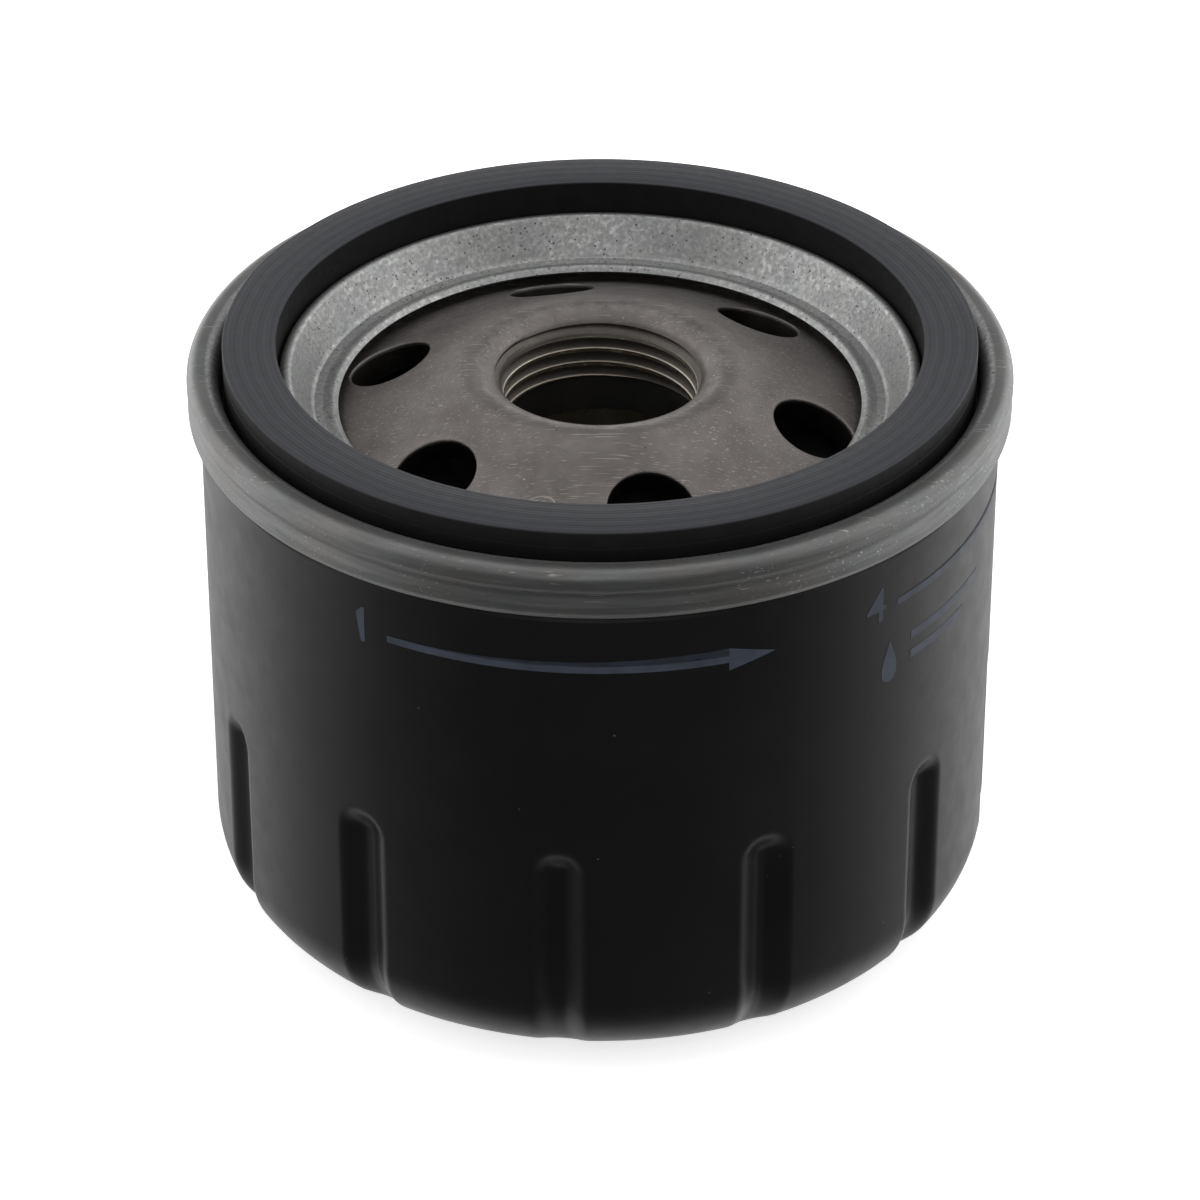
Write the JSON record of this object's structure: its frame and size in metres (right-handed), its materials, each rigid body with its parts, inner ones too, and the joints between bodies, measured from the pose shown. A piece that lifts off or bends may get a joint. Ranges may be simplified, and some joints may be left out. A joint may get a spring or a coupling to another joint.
{
  "type": "oil filter",
  "caption": "Spin-on engine oil filter: fluted steel can, rolled seam, threaded base plate, face gasket, and a pleated element with its valves and springs inside.",
  "frame": {"origin": "middle of the closed end, on the plane that the can stands on", "axes": "+Z along the filter's axis, from the closed end to the threaded open end; the row's front is -Y"},
  "size_m": [0.0782, 0.0782, 0.0588],
  "materials": {
    "can_paint": "satin black stoving enamel on drawn steel",
    "zinc_sheet": "zinc-plated pressed sheet, bare at the seam",
    "sealing_compound": "soft sealing compound",
    "plate_steel": "pressed and tapped steel, satin",
    "gasket_rubber": "cut nitrile rubber with fine turning lines",
    "membrane_rubber": "moulded nitrile rubber",
    "tinned_sheet": "tin-plated pressed sheet",
    "adhesive": "cured end-cap adhesive",
    "filter_paper": "resin-treated pleated paper",
    "spring_steel": "drawn spring wire"
  },
  "bodies": {
    "housing": {"can": "can_paint", "seaming_lid": "zinc_sheet", "seam_compound": "sealing_compound", "base_plate": "plate_steel", "gasket": "gasket_rubber", "support_spring": "spring_steel"},
    "element": {"upper_end_cap": "tinned_sheet", "lower_end_cap": "tinned_sheet", "lower_adhesive": "adhesive", "upper_adhesive": "adhesive", "centre_tube": "tinned_sheet", "pleated_media": "filter_paper", "media_seam_clip": "tinned_sheet", "bypass_cage": "tinned_sheet", "bypass_spring": "spring_steel"},
    "anti_drain": {"anti_drain_valve": "membrane_rubber"},
    "bypass_valve": {"bypass_seal": "membrane_rubber", "bypass_disc": "tinned_sheet", "bypass_washer": "tinned_sheet", "bypass_stem": "plate_steel"}
  },
  "joints": [
    {"name": "element_float", "type": "slide", "parent": "housing", "child": "element", "axis": [0, 0, -1], "range_m": [0, 0.0015], "stiffness_N_per_m": 8000, "deforming": ["support_spring"]},
    {"name": "anti_drain_lip", "type": "slide", "parent": "element", "child": "anti_drain", "axis": [0, 0, -1], "range_m": [0, 0.0012], "stiffness_N_per_m": 400, "deforming": ["anti_drain_valve"]},
    {"name": "bypass_lift", "type": "slide", "parent": "element", "child": "bypass_valve", "axis": [0, 0, 1], "range_m": [0, 0.0025], "stiffness_N_per_m": 1600, "deforming": ["bypass_spring"]}
  ]
}
